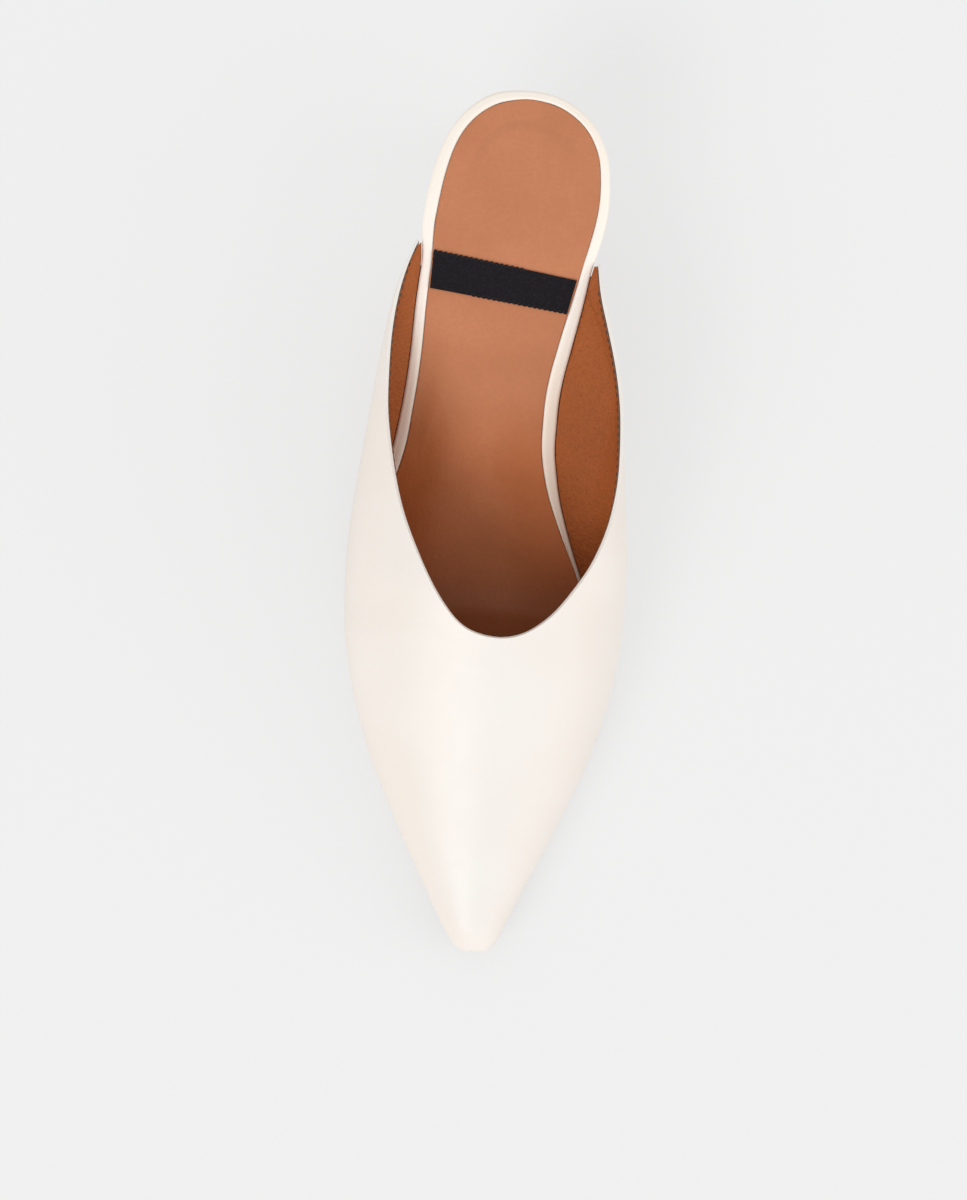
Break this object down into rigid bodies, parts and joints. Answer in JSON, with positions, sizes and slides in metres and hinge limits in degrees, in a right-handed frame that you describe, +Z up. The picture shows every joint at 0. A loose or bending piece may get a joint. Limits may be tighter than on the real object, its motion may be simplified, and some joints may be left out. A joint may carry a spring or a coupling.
{
  "type": "mule shoe",
  "caption": "Pointed backless leather mule for the right foot, with a low covered heel, an open throat and a leather-lined footbed.",
  "frame": {"origin": "bottom centre of the bounding box, on the floor the shoe stands on", "axes": "+Z up, the toe points to -Y and the heel to +Y, +X is the inner side of the right foot"},
  "size_m": [0.0868, 0.263, 0.0529],
  "materials": {
    "upper_leather": "smooth cream leather",
    "rim_leather": "smooth cream leather",
    "sock_leather": "soft tan leather",
    "label_tape": "black woven tape",
    "sole_leather": "smooth brown sole leather",
    "heel_leather": "smooth cream leather over a hard block",
    "tip_rubber": "matt"
  },
  "bodies": {
    "root": {"outsole": "sole_leather", "insole_board": "rim_leather", "sock": "sock_leather", "label": "label_tape", "upper": "upper_leather", "heel": "heel_leather", "top_lift": "tip_rubber"}
  },
  "joints": []
}
